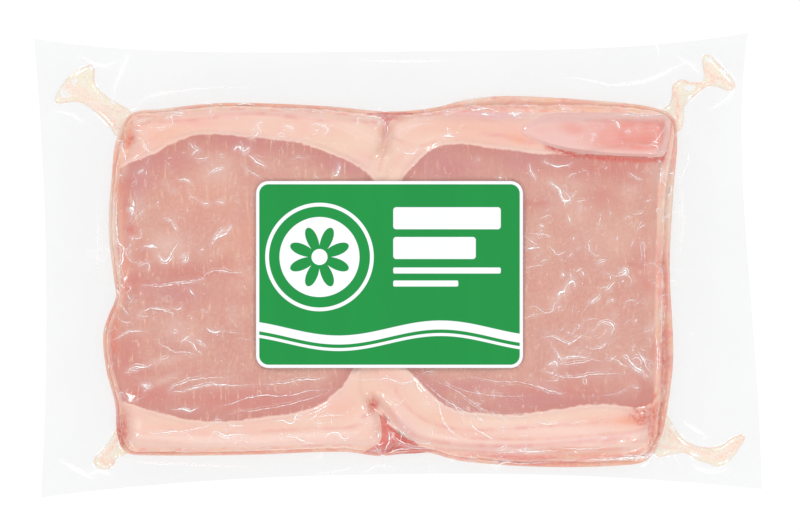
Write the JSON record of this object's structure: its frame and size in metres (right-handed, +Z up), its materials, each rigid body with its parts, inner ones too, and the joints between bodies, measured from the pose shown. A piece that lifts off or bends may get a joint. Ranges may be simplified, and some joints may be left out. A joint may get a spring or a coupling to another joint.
{
  "type": "vacuum-packed pork steak",
  "caption": "Flat clear vacuum pouch shrunk onto side-by-side stacks of butterflied pork loin steaks, with a rounded rectangular label on top and a flange of spare film all round.",
  "frame": {"origin": "on the surface that the pack lies on, under the middle of the pouch", "axes": "+X along the pouch, the longer way; +Y across it, towards the side with the folded rind flap; +Z up, label side up"},
  "size_m": [0.292, 0.1864, 0.03],
  "materials": {
    "wrapped_pork": "clear glossy vacuum film over pale pink pork lean and creamy pink rind fat",
    "label_print": "satin printed film label, green with a white border and plain white shapes"
  },
  "bodies": {
    "root": {"pouch": "wrapped_pork", "label": "label_print"}
  },
  "joints": []
}
